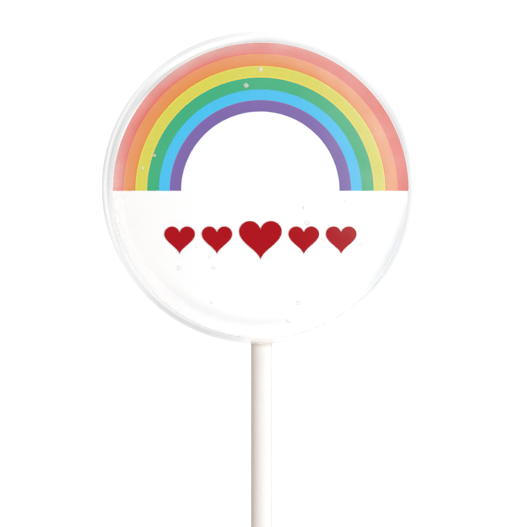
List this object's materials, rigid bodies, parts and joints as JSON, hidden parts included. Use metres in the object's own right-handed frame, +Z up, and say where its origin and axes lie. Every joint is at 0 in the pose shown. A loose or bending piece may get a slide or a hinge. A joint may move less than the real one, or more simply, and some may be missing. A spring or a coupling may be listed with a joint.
{
  "type": "printed disc lollipop",
  "caption": "Flat round lollipop of clear boiled sugar with a printed rainbow and a row of hearts set inside, on a white paper stick, lying on its back.",
  "frame": {"origin": "middle of the disc's flat back, on the surface that the lollipop lies on", "axes": "+Z up out of the printed front, +Y to the top of the picture, with the stick running towards -Y, and +X to the right of the picture"},
  "size_m": [0.057, 0.141, 0.009],
  "materials": {
    "clear_sugar": "polished",
    "stick_paper": "matte",
    "edible_paper": "matte",
    "red_ink": "satin",
    "orange_ink": "satin",
    "yellow_ink": "satin",
    "green_ink": "satin",
    "blue_ink": "satin",
    "violet_ink": "satin",
    "crimson_ink": "satin"
  },
  "bodies": {
    "root": {"candy": "clear_sugar", "stick": "stick_paper", "print_sheet": "edible_paper", "band_violet": "violet_ink", "band_blue": "blue_ink", "band_green": "green_ink", "band_yellow": "yellow_ink", "band_orange": "orange_ink", "band_red": "red_ink", "heart_1": "crimson_ink", "heart_2": "crimson_ink", "heart_3": "crimson_ink", "heart_4": "crimson_ink", "heart_5": "crimson_ink"}
  },
  "joints": []
}
